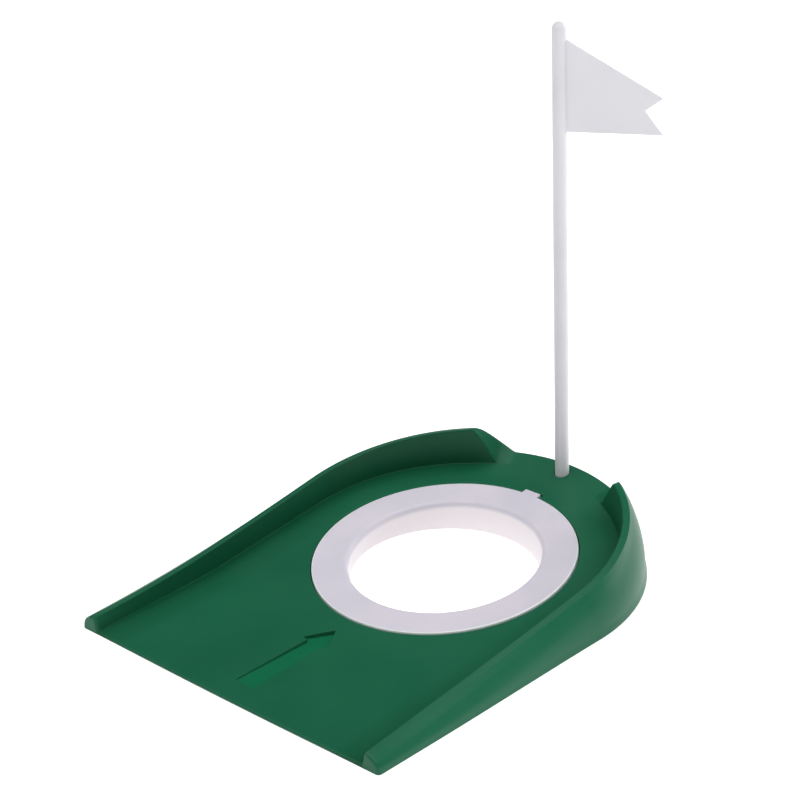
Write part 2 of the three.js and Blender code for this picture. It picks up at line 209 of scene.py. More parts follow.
# Fineness
SIDE_STEP = 2.0
ARC_STEPS = 180
ROUND = 192
STICK_ROUND = 64
SHARP_ANGLE = math.radians(32)
WALL_STEPS = 24
DOME_STEPS = 14
ROOT_STEPS = 6
DECK_RADII = (0, 25, 45, 52, 55, 58, 61, 63, 65, 67, 69, 71)
DECK_VOID_RADII = (0, 40, 52, 58, 62, 66, 70, 74)
FLOOR_RADII = (74, 55, 30, 0)
LIP_ROWS = (0, 0.02, 0.06, 0.13, 0.24, 0.4, 0.65, 1)

# The frame's y of the hole's centre: the flagstick stands STICK_Y behind it.
stick_low, stick_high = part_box("flagstick")
HOLE_Y = (stick_low.y + stick_high.y) / 2 - STICK_Y * MM
FRAME = Matrix.Translation((0, HOLE_Y, 0)) @ Matrix.Scale(MM, 4)

# ---------------------------------------------------------------- camera

VIEW_AZIMUTH = math.radians(44.313)  # from straight ahead along +Y, turning towards -X
VIEW_ELEVATION = math.radians(26.256)
VIEW_ROLL = math.radians(-1.958)
VIEW_DISTANCE = 1.2881
VIEW_SIDEWAYS = -0.019541
VIEW_UPWARD = 0.075956
LENS_MM = 133.69
SENSOR_MM = 36.0


def add_camera():
    data = bpy.data.cameras.new("camera")
    data.lens = LENS_MM
    data.sensor_width = SENSOR_MM
    data.clip_start = 0.05
    data.clip_end = 50
    right = Vector((math.cos(VIEW_AZIMUTH), math.sin(VIEW_AZIMUTH), 0))
    level = Vector((-math.sin(VIEW_AZIMUTH), math.cos(VIEW_AZIMUTH), 0))
    ahead = level * math.cos(VIEW_ELEVATION) - Vector((0, 0, math.sin(VIEW_ELEVATION)))
    turn = Matrix.Rotation(-VIEW_ROLL, 3, ahead)
    right = turn @ right
    up = right.cross(ahead)
    centre = Vector((0, HOLE_Y, 0))
    camera = bpy.data.objects.new("camera", data)
    camera.matrix_world = Matrix.Translation(
        centre - ahead * VIEW_DISTANCE + right * VIEW_SIDEWAYS + up * VIEW_UPWARD
    ) @ Matrix((right, up, -ahead)).transposed().to_4x4()
    bpy.context.scene.collection.objects.link(camera)
    bpy.context.scene.camera = camera


add_camera()

# ---------------------------------------------------------------- deck and wall formulas


def clamp(value, low, high):
    return max(low, min(high, value))


def smoothstep(value, low, high):
    share = clamp((value - low) / (high - low), 0, 1)
    return share * share * (3 - 2 * share)


def soft_max(a, b, reach):
    """The larger of a and b, with a round join where they are within reach of each other."""
    share = max(reach - abs(a - b), 0) / reach
    return max(a, b) + share * share * reach / 4


def soft_min(a, b, reach):
    return -soft_max(-a, -b, reach)


def deck_height(y):
    """Three straight slopes joined by two soft bends."""

    def bend(at, slope):
        middle, half = at
        run = y - middle + half
        into = clamp(run, 0, 2 * half)
        return slope * (into * into / (4 * half) + max(0, run - 2 * half))

    apron_y = APRON_BEND[0]
    apron = DECK_AT_HOLE + RAMP_SLOPE * apron_y + APRON_SLOPE * (y - apron_y)
    ramp = bend(APRON_BEND, RAMP_SLOPE - APRON_SLOPE)
    return apron + ramp + bend(REAR_BEND, REAR_SLOPE - RAMP_SLOPE)


def front_share(y):
    """Grows from 0 at the middle of the walls to 1 at their low front ends."""
    share = clamp((WALL_MIDDLE_Y - y) / (WALL_MIDDLE_Y - FRONT_Y), 0, 1)
    return share * share


def rim_height(y):
    run = y - FRONT_Y
    return RIM_FRONT + RIM_FRONT_LIFT * front_share(y) + RIM_RISE * run + RIM_CURVE * run * run


def foot_radius(angle):
    """Radius of the foot's outline in the direction angle, measured from +Y."""
    side = FOOT_BACK * math.sin(angle)
    return FOOT_BACK * math.cos(angle) + math.sqrt(FOOT_R * FOOT_R - side * side)


def outer_radius(share, rim, waist, foot):
    """The wall's outer face at a share of its height: a bulge, a narrow waist and a flared foot."""
    fall = clamp((1 - share) / (1 - WAIST_AT), 0, 1)
    bulge = rim + (waist - rim) * math.sin(fall**BULGE * math.pi / 2)
    return bulge + (foot - waist) * smoothstep(WAIST_AT - share, 0, WAIST_AT - FOOT_AT)


def gap_height(x, r):
    """Height of the slanted ends of the wall on both sides of the gap, steeper on the inside."""
    foot = GAP_HALF + GAP_TURN * (RIM_OUT_R - r)
    return GAP_BASE_Z + (abs(x - GAP_X) - foot) * (GAP_TOP_Z - GAP_BASE_Z) / (GAP_TOP_HALF - foot)


def lip_drop(run, radius):
    """How far an edge rounded to this radius has dropped, run behind the edge."""
    short = clamp(radius - run, 0, radius)
    return radius - math.sqrt(radius * radius - short * short)


class Station:
    """A place along the U of the wall, with its section's outward direction.

    Close to the front, the deck and the wall shrink inwards into a rounded edge.
    """

    def __init__(self, y, angle):
        self.y = y
        self.out = Vector((math.sin(angle), math.cos(angle)))
        self.deck_drop = lip_drop(y - FRONT_Y, LIP_DECK)
        self.wall_drop = lip_drop(y - FRONT_Y, LIP_WALL)
        spread = RIM_FRONT_SPREAD * front_share(y)
        self.foot = foot_radius(angle) + FOOT_SPREAD * smoothstep(-y, 0, FOOT_SPREAD_RUN)
        self.foot -= lip_drop(y - FRONT_Y, CORNER_ROUND)
        self.waist = self.foot - FLARE_SIDE - FLARE_BACK * abs(math.cos(angle)) ** 3
        self.rim_in = RIM_IN_R + spread + self.wall_drop
        self.rim_out = RIM_OUT_R + spread - self.wall_drop
        self.rim = rim_height(self.y_at(RIM_OUT_R)) - lip_drop(y - FRONT_Y, LIP_RIM)
        rise = self.rim - deck_height(self.y_at(WALL_INNER_R))
        leaning = WALL_DRAFT * max(0, rise - RIM_FRONT)
        self.wall_in = WALL_INNER_R + spread / 4 - leaning + self.wall_drop

    def x_at(self, r):
        return self.out.x * r

    def y_at(self, r):
        return self.y + self.out.y * r

    def deck(self, r):
        return deck_height(self.y_at(r)) - self.deck_drop

    def top(self, r):
        """Height of the wall's top: the crowned rim, the gap's slanted ends or the deck."""
        across = clamp((self.rim_out - r) / (self.rim_out - self.rim_in), 0, 1)
        wall = soft_min(self.rim + RIM_CROWN * across, gap_height(self.x_at(r), r), GAP_SHOULDER)
        return soft_max(self.deck(r), wall, GAP_FOOT)

    def outer(self, z):
        return outer_radius(z / self.rim, self.rim_out, self.waist, self.foot)

    def outer_top(self):
        """Height at which the outer face meets the top."""
        low, high = 0.0, self.rim
        for _ in range(24):
            z = (low + high) / 2
            if z < self.top(self.outer(z)):
                low = z
            else:
                high = z
        return (low + high) / 2

    def point(self, r, z):
        return Vector((self.x_at(r), self.y_at(r), z))


def stations(front_y, lip_rows=()):
    """Stations along the right side, round the back and along the left side."""
    count = round(-front_y / SIDE_STEP)
    side = [front_y * (1 - step / count) for step in range(count)]
    side[:1] = [front_y + row for row in lip_rows] or side[:1]
    right = [Station(y, math.pi / 2) for y in side]
    back = [Station(0, math.pi / 2 - math.pi * step / ARC_STEPS) for step in range(ARC_STEPS + 1)]
    left = [Station(y, -math.pi / 2) for y in reversed(side)]
    return right + back + left


# ---------------------------------------------------------------- mesh helpers


def round_corner(before, corner, after, radius, steps=5):
    """A corner between two straight runs, rounded; the tangent never takes half of a run."""
    to_before, to_after = before - corner, after - corner
    turn = math.pi - to_before.angle(to_after, math.pi)
    reach = min(radius * math.tan(turn / 2), 0.48 * to_before.length, 0.48 * to_after.length)
    start = corner + to_before.normalized() * reach
    end = corner + to_after.normalized() * reach
    shares = [step / (steps - 1) for step in range(steps)]
    return [start * (1 - s) ** 2 + corner * 2 * s * (1 - s) + end * s * s for s in shares]


def rounded(corners):
    """A line through (x, y, radius) corners, rounded at the inner ones."""
    places = [Vector(corner[:2]) for corner in corners]
    line = [places[0]]
    for i in range(1, len(places) - 1):
        line += round_corner(places[i - 1], places[i], places[i + 1], corners[i][2])
    return line + [places[-1]]


def rounded_outline(corners, radius, steps=5):
    """A closed outline through (x, y) corners, each rounded."""
    places = [Vector(corner) for corner in corners]
    count = len(places)
    return [
        point
        for i in range(count)
        for point in round_corner(places[i - 1], places[i], places[(i + 1) % count], radius, steps)
    ]


def offset_outline(outline, distance):
    """A closed counterclockwise outline, moved outwards by distance."""
    count = len(outline)
    moved = []
    for i, point in enumerate(outline):
        before = (point - outline[i - 1]).normalized()
        after = (outline[(i + 1) % count] - point).normalized()
        out = Vector((before.y + after.y, -before.x - after.x)) / (1 + before.dot(after))
        moved.append(point + out * distance)
    return moved


def circle(radius, count, centre=(0, 0)):
    x, y = centre
    turns = [2 * math.pi * step / count for step in range(count)]
    return [Vector((x + radius * math.cos(t), y + radius * math.sin(t))) for t in turns]


def raw_mesh(points, faces):
    """A closed mesh object, in millimetres, its doubles merged and its faces turned outwards."""
    mesh = bmesh.new()
    vertices = [mesh.verts.new(point) for point in points]
    for face in faces:
        mesh.faces.new([vertices[i] for i in face])
    bmesh.ops.remove_doubles(mesh, verts=mesh.verts, dist=1e-4)
    bmesh.ops.dissolve_degenerate(mesh, edges=mesh.edges, dist=1e-5)
    bmesh.ops.recalc_face_normals(mesh, faces=mesh.faces)
    data = bpy.data.meshes.new("raw")
    mesh.to_mesh(data)
    mesh.free()
    made = bpy.data.objects.new("raw", data)
    bpy.context.scene.collection.objects.link(made)
    return made


def stack(rings, closed=False):
    """A body through rings of equally many points, with flat ends or, if closed, joined up."""
    count = len(rings[0])
    faces = []
    for row in range(len(rings) if closed else len(rings) - 1):
        a = row * count
        b = (row + 1) % len(rings) * count
        faces += [(a + i, a + (i + 1) % count, b + (i + 1) % count, b + i) for i in range(count)]
    if not closed:
        last = (len(rings) - 1) * count
        faces += [tuple(range(count)), tuple(reversed(range(last, last + count)))]
    return raw_mesh([point for ring in rings for point in ring], faces)


def boolean(target, tool, operation):
    """Joins or cuts target with tool, which is used up."""
    modifier = target.modifiers.new("boolean", "BOOLEAN")
    modifier.operation = operation
    modifier.solver = "MANIFOLD"
    modifier.object = tool
    graph = bpy.context.evaluated_depsgraph_get()
    data = bpy.data.meshes.new_from_object(target.evaluated_get(graph))
    target.modifiers.clear()
    target.data = data
    bpy.data.objects.remove(tool)
    return target


def joined(bodies):
    whole = bodies[0]
    for body in bodies[1:]:
        boolean(whole, body, "UNION")
    return whole


def cut(target, tools):
    for tool in tools:
        boolean(target, tool, "DIFFERENCE")
    return target


def onto_ramp(rings):
    """Moves rings laid out with the deck's surface at z = 0 onto the tilted ramp."""
    tilt = Matrix.Translation((0, 0, DECK_AT_HOLE)) @ Matrix.Rotation(math.atan(RAMP_SLOPE), 4, "X")
    return [[tilt @ point for point in ring] for ring in rings]


def turned(profile, segments=ROUND, centre=(0, 0)):
    """Rings of (radius, z) points turned about the vertical through centre."""
    return [[Vector((*point, z)) for point in circle(r, segments, centre)] for r, z in profile]


def lip(radius, steps=6, reach=78):
    """(outwards, up) steps of a rounded edge that a cutter leaves at the surface z = 0.

    Past the surface the cutter goes on upwards.
    """
    clear = 12
    angles = [math.radians(reach) * step / (steps - 1) for step in range(steps)]
    curve = [(radius * (1 - math.cos(a)), radius * (math.sin(a) - 1)) for a in angles]
    return curve + [(radius * 0.95, radius * 0.1), (radius, clear)]


def finished(piece, name, body, material, node):
    """Gives a body its name, material and place in the frame, where it stands for a CAD node."""
    piece.name = piece.data.name = name
    piece.data.transform(FRAME)
    piece.data.materials.clear()
    piece.data.materials.append(material)
    piece.data.shade_smooth()
    piece.data.set_sharp_from_angle(angle=SHARP_ANGLE)
    weighted = piece.modifiers.new("weighted_normals", "WEIGHTED_NORMAL")
    weighted.keep_sharp = True
    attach(piece, body)
    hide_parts(node)


# ---------------------------------------------------------------- tray


def wall_line(station):
    """The top of a section: the deck, the fillet, the inner face, the rim and the outer face."""
    deck = [Vector((r, station.deck(r))) for r in DECK_RADII]
    base = station.deck(station.wall_in)
    rise = station.top((station.wall_in + station.rim_in) / 2) - base
    lean = clamp(rise / (station.rim - base), 0, 1)
    inner_r = station.wall_in + (station.rim_in - station.wall_in) * lean
    outer_z = station.outer_top()
    outer_r = station.outer(outer_z)
    line = rounded([
        (*deck[-1], 0),
        (station.wall_in, base, FILLET),
        (inner_r, station.top(inner_r), RIM_IN_ROUND + (GAP_ROUND - RIM_IN_ROUND) * (1 - lean)),
        (outer_r, outer_z, RIM_OUT_ROUND),
        (station.outer(0.7 * outer_z), 0.7 * outer_z, 0),
    ])
    first = max(0.72 * outer_z, outer_z - 2 * RIM_OUT_ROUND)
    heights = [first + (FOOT_TOP - first) * step / WALL_STEPS for step in range(WALL_STEPS + 1)]
    return deck[:-1] + line[:-1] + [Vector((station.outer(z), z)) for z in heights]


def foot_line(station):
    edge = rounded([
        (station.outer(FOOT_TOP), FOOT_TOP, 0),
        (station.foot, 0, FOOT_ROUND),
        (station.foot - FOOT_RIM, 0, 0),
    ])
    return edge[1:] + [Vector((r, 0)) for r in FLOOR_RADII]


def envelope_section(station):
    return [station.point(*point) for point in wall_line(station) + foot_line(station)]


def bow(point):
    """The front edge swells forward in the middle."""
    across = clamp(1 - (point.x / WALL_INNER_R) ** 2, 0, 1)
    ahead = FRONT_BOW * across * smoothstep(-point.y, BOW_RUN, -FRONT_Y)
    return Vector((point.x, point.y - ahead, point.z))


def half_sections(places, section):
    """A body through half sections that start and end on the centre line."""
    sections = [section(station) for station in places]
    count = len(sections[0])
    faces = [
        (row * count + i, row * count + i + 1, (row + 1) * count + i + 1, (row + 1) * count + i)
        for row in range(len(sections) - 1)
        for i in range(count - 1)
    ]
    points = [point for part in sections for point in part]
    last = (len(sections) - 1) * count
    front = list(range(count)) + [last + i for i in range(count - 2, 0, -1)]
    flat = [Vector((points[i].x, points[i].z, 0)) for i in front]
    faces += [tuple(front[i] for i in triangle) for triangle in tessellate_polygon([flat])]
    return raw_mesh([bow(point) for point in points], faces)


def envelope():
    rows = [LIP_DECK * share for share in LIP_ROWS]
    return half_sections(stations(FRONT_Y, rows), envelope_section)


def deck_void():
    reach = RIM_IN_R + PLATE

    def section(station):
        line = [(r, station.deck(r) - PLATE) for r in (*DECK_VOID_RADII, reach)]
        return [station.point(r, z) for r, z in line + [(reach, BELOW), (0, BELOW)]]

    return half_sections(stations(VOID_FRONT_Y), section)


def wall_void():
    def section(station):
        inner = station.rim_in + PLATE - WALL_VOID_STEP
        shoulder = max(inner + WALL_VOID_STEP, station.outer(0.72 * station.rim) - PLATE)
        line = [(inner, BELOW), (inner, WALL_VOID_INSIDE * station.rim)]
        line.append((shoulder, WALL_VOID_TOP * station.rim))
        for share in (0.55, 0.38, 0.2, 0.13, 0.08):
            line.append((station.outer(share * station.rim) - PLATE, share * station.rim))
        line.append((station.foot - PLATE, BELOW))
        roof = WALL_VOID_ROOF * PLATE
        return [station.point(r, min(z, station.top(r) - roof)) for r, z in line]

    return stack([section(station) for station in stations(WALL_VOID_FRONT_Y)])


def upright_box(half_x, from_y, to_y, from_z, to_z, angle=0):
    turn = Matrix.Rotation(angle, 3, "Z")
    corners = [(half_x, from_y), (half_x, to_y), (-half_x, to_y), (-half_x, from_y)]
    return stack([[turn @ Vector((*corner, z)) for corner in corners] for z in (from_z, to_z)])


def tube(outer, inner, from_z, to_z, ramp=False):
    rings = turned([(inner, from_z), (outer, from_z), (outer, to_z), (inner, to_z)])
    return stack(onto_ramp(rings) if ramp else rings, closed=True)


def underside():
    """The hollow under the tray, around its skirt, ledge, boss and ribs."""
    hollow = joined([deck_void(), wall_void()])
    ribs = [
        upright_box(RIB_T / 2, HOLE_R, HOLE_R + RIB_LENGTH, RIB_LIFT, ABOVE, -math.radians(angle))
        for angle in RIB_ANGLES
    ]
    ledge = tube(SEAT_R + PLATE, HOLE_R + BELOW, SEAT_FLOOR - PLATE + LEDGE_RISE, ABOVE, ramp=True)
    skirt = tube(HOLE_R + SKIRT_T, HOLE_R + BELOW, RIB_LIFT, ABOVE)
    boss = stack(turned([(BOSS_R, 0), (BOSS_R, ABOVE)], STICK_ROUND, (0, STICK_Y)))
    return cut(hollow, [ledge, skirt, boss, *ribs])


def seat():
    walls = [(SEAT_R - SEAT_EDGE, SEAT_FLOOR), (SEAT_R, SEAT_FLOOR + SEAT_EDGE)]
    return stack(onto_ramp(turned(walls + [(SEAT_R + out, up) for out, up in lip(SEAT_LIP)])))


def tab_block(half, near, far, corner, rows):
    """A block across the ring's edge, turned to the tab's place; rows are (outwards, up) steps."""
    outline = rounded_outline([(half, near), (half, far), (-half, far), (-half, near)], corner)
    turn = Matrix.Rotation(TAB_ANGLE, 3, "Z")
    return stack(onto_ramp([
        [turn @ Vector((*point, up)) for point in offset_outline(outline, out)] for out, up in rows
    ]))


def notch():
    """The slot in the seat for the ring's tab."""
    far = RING_R + TAB_REACH + NOTCH_PLAY
    rows = [(0, SEAT_FLOOR)] + lip(SEAT_LIP)
    return tab_block(TAB_HALF + NOTCH_PLAY, RING_R - NOTCH_ROOT, far, NOTCH_CORNER, rows)


def on_deck(outline, up):
    """An outline laid on the deck, or this far above it."""
    return [Vector((*point, deck_height(point.y) + up)) for point in outline]


def arrow():
    right = [
        (ARROW_TAIL_HALF, ARROW_TAIL_Y),
        (ARROW_NECK_HALF, ARROW_NECK_Y),
        (ARROW_HEAD_HALF, ARROW_BARB_Y),
    ]
    corners = right + [(0, ARROW_TIP_Y)] + [(-x, y) for x, y in reversed(right)]
    outline = rounded_outline(corners, ARROW_CORNER, 3)
    toe_out, toe_up = ARROW_TOE
    floor = [
        [Vector((*point, ARROW_FLOOR + up)) for point in offset_outline(outline, out)]
        for out, up in ((-ARROW_WALL, 0), (toe_out - ARROW_WALL, toe_up))
    ]
    edge = [on_deck(offset_outline(outline, out), up) for out, up in lip(ARROW_LIP, 4, 60)]
    return stack(floor + edge)


def socket():
    centre = (0, STICK_Y)
    floor = turned([(SOCKET_R, SOCKET_FLOOR)], STICK_ROUND, centre)
    edge = [
        on_deck(circle(SOCKET_R + out, STICK_ROUND, centre), up) for out, up in lip(SOCKET_LIP)
    ]
    return stack(floor + edge)


def tray():
    hole = stack(turned([(HOLE_R, BELOW), (HOLE_R, ABOVE)]))
    return cut(envelope(), [underside(), hole, seat(), notch(), arrow(), socket()])


# ---------------------------------------------------------------- ring


def hole_ring():
    top, under = FLANGE_PROUD, FLANGE_PROUD - FLANGE_T
    corners = [
        (BORE_R - BORE_DRAFT, -COLLAR_DEPTH, 0.3),
        (BORE_R - BORE_DRAFT + COLLAR_T, -COLLAR_DEPTH, 0.3),
        (BORE_R + COLLAR_T, under, 0.5),
        (SPIGOT_R - COLLAR_T, under, 0.2),
        (SPIGOT_R - COLLAR_T, under - SPIGOT_DEPTH, 0.3),
        (SPIGOT_R, under - SPIGOT_DEPTH, 0.4),
        (SPIGOT_R, under, 0.2),
        (RING_R, under, 0.3),
        (RING_R, top, FLANGE_EDGE),
        (BORE_R, top, BORE_ROUND),
    ]
    places = [Vector(corner[:2]) for corner in corners]
    profile = []
    for i, corner in enumerate(corners):
        after = places[(i + 1) % len(places)]
        profile += round_corner(places[i - 1], places[i], after, corner[2])
    ring = stack(onto_ramp(turned(profile)), closed=True)

    edge = [(-TAB_EDGE, 0), (-0.3 * TAB_EDGE, -0.3 * TAB_EDGE), (0, -TAB_EDGE)]
    rows = [(out, under + TAB_LIFT - up) for out, up in edge]
    rows += [(out, top + up) for out, up in reversed(edge)]
    tab = tab_block(TAB_HALF, RING_R - TAB_ROOT, RING_R + TAB_REACH, TAB_CORNER, rows)
    below = upright_box(ASIDE, -ASIDE, ASIDE, -ABOVE, COLLAR_LIFT)
    return cut(joined([ring, tab]), [below])


# ---------------------------------------------------------------- flagstick and flag


def flagstick():
    toe = rounded([
        (0, STICK_BOTTOM, 0),
        (STICK_R - STICK_TOE / 2, STICK_BOTTOM, STICK_TOE),
        (STICK_R, STICK_BELTS[0], 0),
    ])
    profile = [tuple(point) for point in toe[1:-1]] + [(STICK_R, z) for z in STICK_BELTS]
    for step in range(DOME_STEPS):
        angle = math.pi / 2 * step / DOME_STEPS
        profile.append((STICK_R * math.cos(angle), STICK_TOP - STICK_R + STICK_R * math.sin(angle)))
    return stack(turned(profile, STICK_ROUND, (0, STICK_Y)))


def flag():
    """A swallow-tailed plate with soft edges, thicker where it meets the flagstick."""
    corners = [
        (FLAG_HOIST, FLAG_BOTTOM_Z),
        (FLAG_TIP, FLAG_BOTTOM_Z),
        (FLAG_NOTCH, FLAG_NOTCH_Z),
        (FLAG_TIP, FLAG_UPPER_TIP_Z),
        (FLAG_HOIST, FLAG_TOP_Z),
    ]
    outline = rounded_outline(corners, FLAG_CORNER, 4)
    half = FLAG_T / 2
    edge = [(-FLAG_EDGE, half), (-0.3 * FLAG_EDGE, half - 0.3 * FLAG_EDGE), (0, half - FLAG_EDGE)]
    rows = [(out, -side) for out, side in edge] + [(out, side) for out, side in reversed(edge)]
    plate = stack([
        [Vector((point.x, side, point.y)) for point in offset_outline(outline, out)]
        for out, side in rows
    ])
    root = [Vector((FLAG_HOIST + FLAG_ROOT, side * half)) for side in (-0.9, 0.9)]
    for step in range(ROOT_STEPS + 1):
        side = FLAG_ROOT_T / 2 * (1 - 2 * step / ROOT_STEPS)
        root.append(Vector((math.sqrt((STICK_R + FLAG_ROOT_CLEAR) ** 2 - side * side), side)))
    slope = (FLAG_TOP_Z - FLAG_UPPER_TIP_Z) / (FLAG_TIP - FLAG_HOIST)
    top = FLAG_TOP_Z - FLAG_EDGE + slope * FLAG_HOIST
    strip = stack([
        [Vector((*point, FLAG_BOTTOM_Z + FLAG_EDGE)) for point in root],
        [Vector((*point, top - slope * point.x)) for point in root],
    ])
    whole = joined([plate, strip])
    whole.data.transform(Matrix.Translation((0, STICK_Y, 0)) @ Matrix.Rotation(FLAG_AZIMUTH, 4, "Z"))
    return whole


# ---------------------------------------------------------------- materials

# Linear colours; the pairs are the two ends of a faint mottling
GREEN = (0.0070, 0.102, 0.051), (0.0090, 0.116, 0.057)
# Painted shade colour for the corner between the deck and the walls
GREEN_PAINTED_SHADE = (0.0, 0.035, 0.007)
GREEN_SUNK = (0.003, 0.128, 0.054)
RING_WHITE = (0.62, 0.60, 0.68), (0.67, 0.63, 0.70)
# Painted light: the ring's thin collar is coloured lighter for the light that falls on it inside the
# hole
COLLAR_PAINTED_LIGHT = (0.87, 0.81, 0.84)
# Painted highlight along the flange's rounded outer edge
RING_EDGE_PAINTED_HIGHLIGHT = (0.86, 0.90, 0.90)
STICK_WHITE = (0.69, 0.68, 0.71), (0.73, 0.72, 0.75)
FLAG_WHITE = (0.70, 0.70, 0.74), (0.74, 0.73, 0.77)


class Nodes:
    """A material's node tree, with short ways to add and link nodes."""

    def __init__(self, name):
        self.material = bpy.data.materials.new(name)
        self.material.use_nodes = True
        self.tree = self.material.node_tree
        self.shader = self.tree.nodes["Principled BSDF"]

    def add(self, kind, **settings):
        node = self.tree.nodes.new(kind)
        for key, value in settings.items():
            setattr(node, key, value)
        return node

    def link(self, out, into):
        self.tree.links.new(out, into)

    def noise(self, scale, detail=2.0, roughness=0.5):
        node = self.add("ShaderNodeTexNoise")
        self.link(self.position(), node.inputs["Vector"])
        node.inputs["Scale"].default_value = scale
        node.inputs["Detail"].default_value = detail
        node.inputs["Roughness"].default_value = roughness
        return node.outputs["Fac"]

    def position(self):
        return self.add("ShaderNodeTexCoord").outputs["Object"]

    def fit(self, value, low, high, to_low, to_high):
        node = self.add("ShaderNodeMapRange")
        self.link(value, node.inputs["Value"])
        keys = ("From Min", "From Max", "To Min", "To Max")
        for key, number in zip(keys, (low, high, to_low, to_high)):
            node.inputs[key].default_value = number
        return node.outputs["Result"]

    def fit_mm(self, value, low, high, to_low, to_high):
        """Like fit, for a value in metres and its limits in millimetres."""
        return self.fit(value, low * MM, high * MM, to_low, to_high)

    def ramp(self, value, low_colour, high_colour, low=0.35, high=0.65):
        node = self.add("ShaderNodeValToRGB")
        node.color_ramp.elements[0].position = low
        node.color_ramp.elements[0].color = (*low_colour, 1)
        node.color_ramp.elements[1].position = high
        node.color_ramp.elements[1].color = (*high_colour, 1)
        self.link(value, node.inputs["Fac"])
        return node.outputs["Color"]

    def math(self, operation, a, b):
        node = self.add("ShaderNodeMath", operation=operation)
        self.link(a, node.inputs[0])
        if isinstance(b, float):
            node.inputs[1].default_value = b
        else:
            self.link(b, node.inputs[1])
        return node.outputs["Value"]

    def mix(self, share, base, colour):
        """A fixed colour over base, by share."""
        node = self.add("ShaderNodeMix", data_type="RGBA")
        self.link(share, node.inputs["Factor"])
        self.link(base, node.inputs["A"])
        node.inputs["B"].default_value = (*colour, 1)
        return node.outputs["Result"]

    def radius(self, x, y):
        """Distance from the hole's axis."""
        squares = self.math("ADD", self.math("MULTIPLY", x, x), self.math("MULTIPLY", y, y))
        return self.math("POWER", squares, 0.5)

    def from_hole(self):
        """x, y from the hole's centre and z, in metres."""
        split = self.add("ShaderNodeSeparateXYZ")
        self.link(self.position(), split.inputs["Vector"])
        x, y, z = split.outputs
        return x, self.math("SUBTRACT", y, float(HOLE_Y)), z

    def within(self, value, low, high):
        """1 where value, in metres, is between low and high, in millimetres."""
        node = self.add("ShaderNodeMath", operation="COMPARE")
        self.link(value, node.inputs[0])
        node.inputs[1].default_value = (low + high) / 2 * MM
        node.inputs[2].default_value = (high - low) / 2 * MM
        return node.outputs["Value"]

    def sunk(self):
        """1 on the floor of the arrow."""
        x, y, z = self.from_hole()
        across = self.within(x, -ARROW_HEAD_HALF, ARROW_HEAD_HALF)
        along = self.within(y, ARROW_TAIL_Y, ARROW_TIP_Y)
        level = self.within(z, ARROW_FLOOR - 0.1, ARROW_FLOOR + 0.1)
        return self.math("MULTIPLY", self.math("MULTIPLY", across, along), level)

    def corner(self):
        """Share of painted shade: grows to 1 in the corner between the deck and the walls, and goes
        on up the walls.
        """
        x, y, _ = self.from_hole()
        lean = self.math("POWER", self.fit_mm(y, WALL_MIDDLE_Y, FRONT_Y, 0, 1), 2.0)
        spread = self.math("MULTIPLY", lean, RIM_FRONT_SPREAD * MM)
        radius = self.math("SUBTRACT", self.radius(x, self.math("MAXIMUM", y, 0.0)), spread)
        near = self.fit_mm(radius, SHADE_FOOT_R - SHADE_REACH, SHADE_FOOT_R, 0, 1)
        up_wall = self.fit_mm(radius, SHADE_FOOT_R, SHADE_FOOT_R + 1, 1, SHADE_UP_WALL)
        inside = self.fit_mm(radius, RIM_IN_R, RIM_IN_R + 0.4, 1, 0)
        aside = self.math("ABSOLUTE", x, 0.0)
        across = self.fit_mm(aside, GAP_HALF - SHADE_GAP_EASE, GAP_TOP_HALF, 1, 0)
        gap = self.math("MULTIPLY", across, self.fit_mm(y, *SHADE_GAP_Y, 0, 1))
        walled = self.math("SUBTRACT", inside, gap)
        share = self.math("MULTIPLY", self.math("MULTIPLY", near, up_wall), walled)
        return self.math("MAXIMUM", share, 0.0)

    def ring_painted_light(self):
        """Shares of painted light on the ring: the thin collar's lighter colour, and the painted
        highlight along the flange's outer edge.
        """
        x, y, z = self.from_hole()
        rise = self.math("SUBTRACT", z, self.math("MULTIPLY", y, RAMP_SLOPE))
        radius = self.radius(x, y)
        inside = self.within(radius, 0, BORE_R + COLLAR_T)
        bend = DECK_AT_HOLE + FLANGE_PROUD - BORE_ROUND
        collar = self.math("MULTIPLY", inside, self.fit_mm(rise, bend + 0.6, bend - 1, 0, 1))
        beside_tab = self.within(y, -RING_R, RING_R - 1)
        edge = self.within(radius, RING_R - 0.7, RING_R + 0.3)
        return collar, self.math("MULTIPLY", edge, beside_tab)

    def bump(self, height, distance, strength, below=None):
        node = self.add("ShaderNodeBump")
        node.inputs["Distance"].default_value = distance
        node.inputs["Strength"].default_value = strength
        self.link(height, node.inputs["Height"])
        if below:
            self.link(below, node.inputs["Normal"])
        return node.outputs["Normal"]


def green_plastic():
    """Moulded polypropylene: deep green, faint flow marks, satin with a fine grain; painted shade
    darkens the corner between the deck and the walls.
    """
    n = Nodes("green_plastic")
    colour = n.ramp(n.noise(14, 3), *GREEN)
    # Painted shade in the corner between the deck and the walls
    colour = n.mix(n.math("MULTIPLY", n.corner(), SHADE_SHARE), colour, GREEN_PAINTED_SHADE)
    n.link(n.mix(n.sunk(), colour, GREEN_SUNK), n.shader.inputs["Base Color"])
    n.link(n.fit(n.noise(60, 4), 0.3, 0.7, 0.30, 0.37), n.shader.inputs["Roughness"])
    grain = n.bump(n.noise(2600, 2), 0.00004, 0.2)
    n.link(n.bump(n.noise(45, 2), 0.0006, 0.08, grain), n.shader.inputs["Normal"])
    n.shader.inputs["IOR"].default_value = 1.49
    n.shader.inputs["Specular IOR Level"].default_value = 0.2
    return n.material


